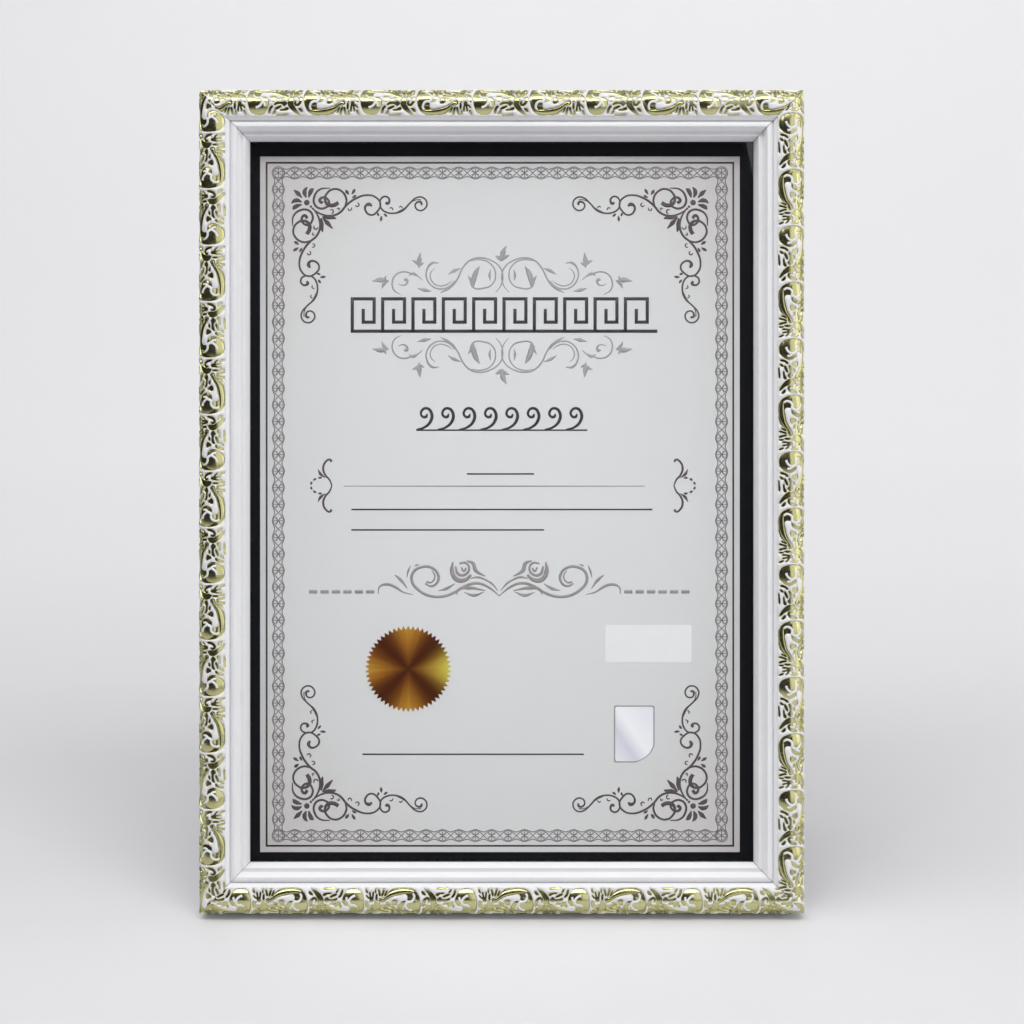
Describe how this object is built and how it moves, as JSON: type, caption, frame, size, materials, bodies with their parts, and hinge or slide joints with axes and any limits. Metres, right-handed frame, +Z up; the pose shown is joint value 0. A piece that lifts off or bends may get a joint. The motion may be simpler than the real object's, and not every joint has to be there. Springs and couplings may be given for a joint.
{
  "type": "certificate frame",
  "caption": "Free-standing A4 certificate frame: mitred moulding with a convex ornamental band, glass, printed sheet, turn buttons, easel strut and wall rings.",
  "frame": {"origin": "on the floor under the middle of the standing frame's box", "axes": "+Z up, front of the frame towards -Y, +X to the right as seen from the front"},
  "size_m": [0.24, 0.112, 0.3226],
  "materials": {
    "moulding": "satin white with gold foil on the outer band",
    "glass": "clear float glass",
    "printed_sheet": "printed silver grey with a black edge",
    "card": "plain grey board",
    "fibreboard": "dark faced fibreboard",
    "zinc_steel": "zinc plated"
  },
  "bodies": {
    "frame": {"bottom_rail": "moulding", "top_rail": "moulding", "left_rail": "moulding", "right_rail": "moulding", "corner_v_nails": "zinc_steel", "glass_pane": "glass", "certificate_sheet": "printed_sheet", "filler_card": "card", "backing_board": "fibreboard", "turn_button_screws": "zinc_steel", "hinge_board_leaf": "zinc_steel", "hinge_board_rivets": "zinc_steel", "hinge_pin": "zinc_steel", "hanger_strap_upright": "zinc_steel", "hanger_strap_sideways": "zinc_steel", "hanger_rivets": "zinc_steel"},
    "strut": {"easel_strut": "fibreboard", "hinge_strut_leaf": "zinc_steel", "hinge_strut_rivets": "zinc_steel"},
    "turn_button_bottom": {"turn_button_bottom": "zinc_steel"},
    "turn_button_top": {"turn_button_top": "zinc_steel"},
    "turn_button_left_low": {"turn_button_left_low": "zinc_steel"},
    "turn_button_left_high": {"turn_button_left_high": "zinc_steel"},
    "turn_button_right_low": {"turn_button_right_low": "zinc_steel"},
    "turn_button_right_high": {"turn_button_right_high": "zinc_steel"},
    "hanger_ring_upright": {"hanger_ring_upright": "zinc_steel"},
    "hanger_ring_sideways": {"hanger_ring_sideways": "zinc_steel"}
  },
  "joints": [
    {"name": "strut_fold", "type": "hinge", "parent": "frame", "child": "strut", "pos_m": [-0.00024, -0.00127, 0.17082], "axis": [-0.8387, -0.1132, -0.5327], "range_deg": [0, 25]},
    {"name": "button_turn_bottom", "type": "hinge", "parent": "frame", "child": "turn_button_bottom", "pos_m": [0, -0.03777, 0.00683], "axis": [0, 0.9781, -0.2079], "continuous": true},
    {"name": "button_turn_top", "type": "hinge", "parent": "frame", "child": "turn_button_top", "pos_m": [0, 0.02731, 0.31299], "axis": [0, 0.9781, -0.2079], "continuous": true},
    {"name": "button_turn_left_low", "type": "hinge", "parent": "frame", "child": "turn_button_left_low", "pos_m": [-0.113, -0.02144, 0.08361], "axis": [0, 0.9781, -0.2079], "continuous": true},
    {"name": "button_turn_left_high", "type": "hinge", "parent": "frame", "child": "turn_button_left_high", "pos_m": [-0.113, 0.01099, 0.2362], "axis": [0, 0.9781, -0.2079], "continuous": true},
    {"name": "button_turn_right_low", "type": "hinge", "parent": "frame", "child": "turn_button_right_low", "pos_m": [0.113, -0.02144, 0.08361], "axis": [0, 0.9781, -0.2079], "continuous": true},
    {"name": "button_turn_right_high", "type": "hinge", "parent": "frame", "child": "turn_button_right_high", "pos_m": [0.113, 0.01099, 0.2362], "axis": [0, 0.9781, -0.2079], "continuous": true},
    {"name": "ring_swing_upright", "type": "hinge", "parent": "frame", "child": "hanger_ring_upright", "pos_m": [0, 0.02068, 0.27453], "axis": [-1, 0, 0], "range_deg": [0, 160]},
    {"name": "ring_swing_sideways", "type": "hinge", "parent": "frame", "child": "hanger_ring_sideways", "pos_m": [-0.074, -0.00375, 0.15959], "axis": [0, -0.2079, -0.9781], "range_deg": [0, 160]}
  ]
}
